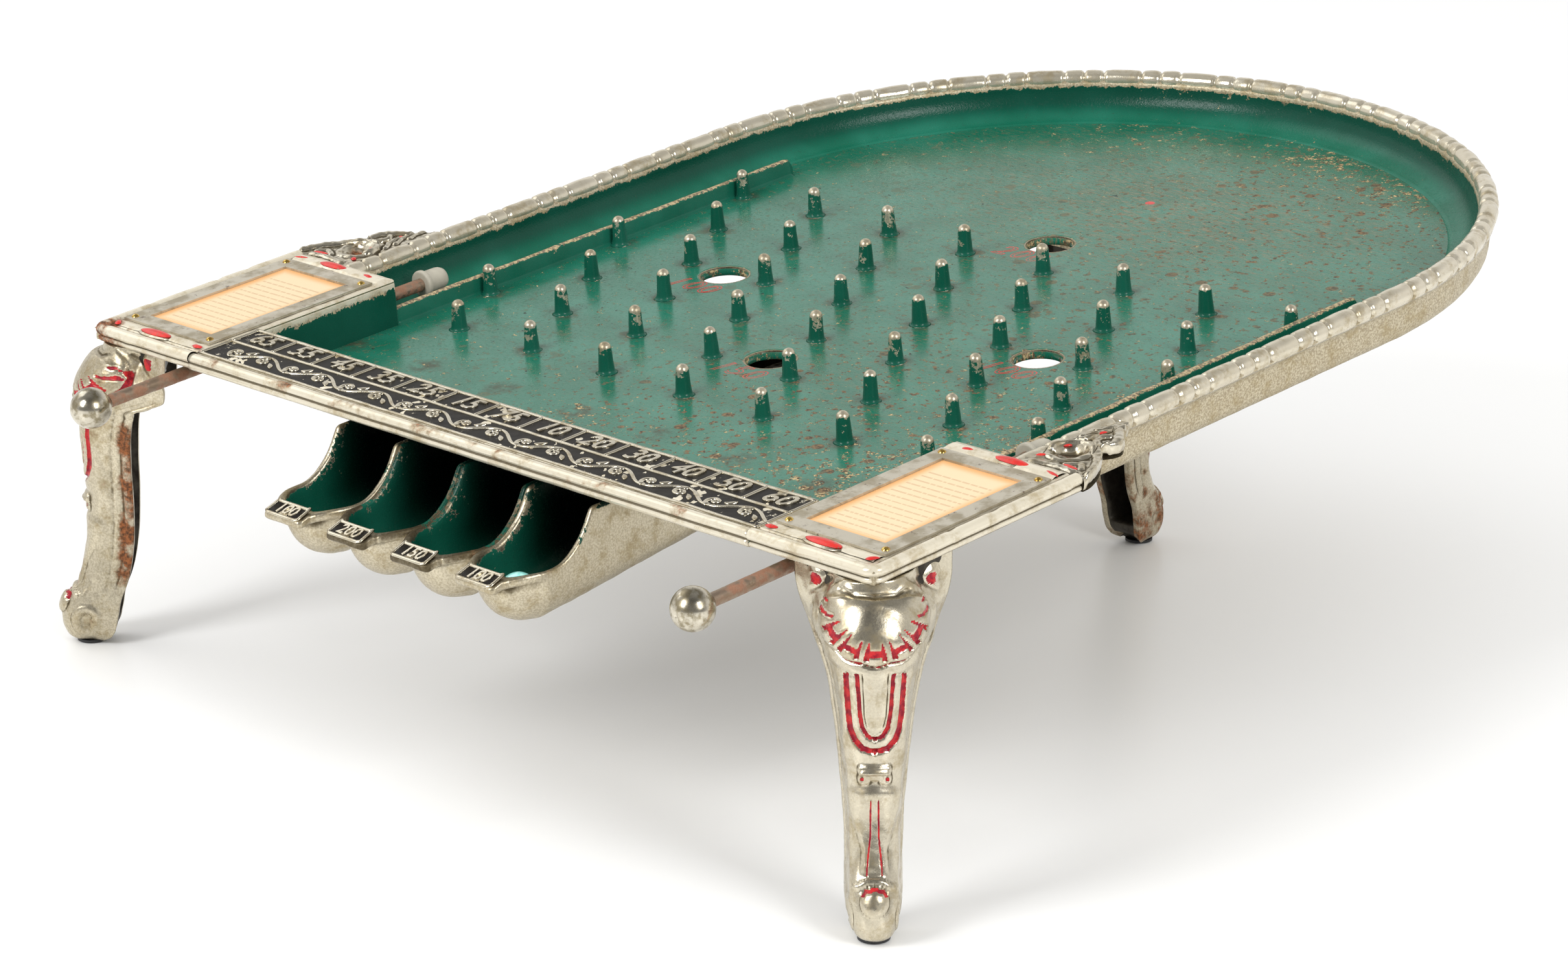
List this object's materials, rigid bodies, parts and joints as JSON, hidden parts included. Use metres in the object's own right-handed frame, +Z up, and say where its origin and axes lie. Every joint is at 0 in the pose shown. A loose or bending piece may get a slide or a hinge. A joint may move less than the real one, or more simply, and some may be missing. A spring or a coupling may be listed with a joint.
{
  "type": "bagatelle board game",
  "caption": "Tabletop bagatelle: cast tray with green playfield, pegs, holes, spring plungers, return cups and cabriole legs.",
  "frame": {"origin": "on the table under the middle of the game's bounding box", "axes": "+Y from the player's end towards the round far end, +X to the player's right, +Z up"},
  "size_m": [0.5116, 0.6185, 0.1987],
  "materials": {
    "green_enamel": "worn glossy green enamel with chips",
    "nickel_casting": "worn warm nickel plate on rough cast iron",
    "nickel_bright": "polished nickel, tarnished",
    "rod_steel": "steel with brown rust",
    "zinc_frame": "dull zinc grey",
    "card_paper": "cream card with a warm orange tint",
    "brass_pin": "polished brass",
    "grey_rubber": "matt grey rubber",
    "spring_steel": "plain spring steel",
    "felt_washer": "brown felt",
    "foot_pad": "black pad",
    "marble_glass": "opaque teal glass, glossy"
  },
  "bodies": {
    "board": {"buffer_washer_left": "felt_washer", "buffer_washer_right": "felt_washer", "card_frame_left": "zinc_frame", "card_frame_right": "zinc_frame", "corner_block_left": "nickel_casting", "corner_block_right": "nickel_casting", "foot_pads": "foot_pad", "frame_pins": "brass_pin", "front_leg_left": "nickel_casting", "front_leg_right": "nickel_casting", "instruction_card_left": "card_paper", "instruction_card_right": "card_paper", "lane_fence_left": "green_enamel", "lane_fence_right": "green_enamel", "leg_screws": "rod_steel", "pegs": "green_enamel", "playfield_far": "green_enamel", "playfield_front": "green_enamel", "playfield_middle": "green_enamel", "playfield_near": "green_enamel", "plunger_spring_left": "spring_steel", "plunger_spring_right": "spring_steel", "rear_leg": "nickel_casting", "return_channel": "nickel_casting", "rim_beads": "nickel_casting", "score_cup_1": "nickel_casting", "score_cup_2": "nickel_casting", "score_cup_3": "nickel_casting", "score_cup_4": "nickel_casting", "score_panel": "nickel_casting", "scroll_bracket_left": "nickel_casting", "scroll_bracket_right": "nickel_casting", "tray_screws": "rod_steel", "tray_wall": "green_enamel"},
    "plunger_left": {"plunger_rod_left": "rod_steel", "plunger_knob_left": "nickel_bright", "rubber_tip_left": "grey_rubber", "spring_collar_left": "spring_steel", "collar_pin_left": "spring_steel"},
    "plunger_right": {"plunger_rod_right": "rod_steel", "plunger_knob_right": "nickel_bright", "rubber_tip_right": "grey_rubber", "spring_collar_right": "spring_steel", "collar_pin_right": "spring_steel"},
    "marble": {"marble": "marble_glass"}
  },
  "joints": [
    {"name": "plunger_left_pull", "type": "slide", "parent": "board", "child": "plunger_left", "axis": [0, -0.9958, -0.0913], "range_m": [0, 0.025], "stiffness_N_per_m": 220, "springref_m": -0.005, "deforming": ["plunger_spring_left"]},
    {"name": "plunger_right_pull", "type": "slide", "parent": "board", "child": "plunger_right", "axis": [0, -0.9958, -0.0913], "range_m": [0, 0.025], "stiffness_N_per_m": 220, "springref_m": -0.005, "deforming": ["plunger_spring_right"]},
    {"name": "marble_lift", "type": "slide", "parent": "board", "child": "marble", "axis": [0, 0, 1], "range_m": [0, 0.06]}
  ]
}
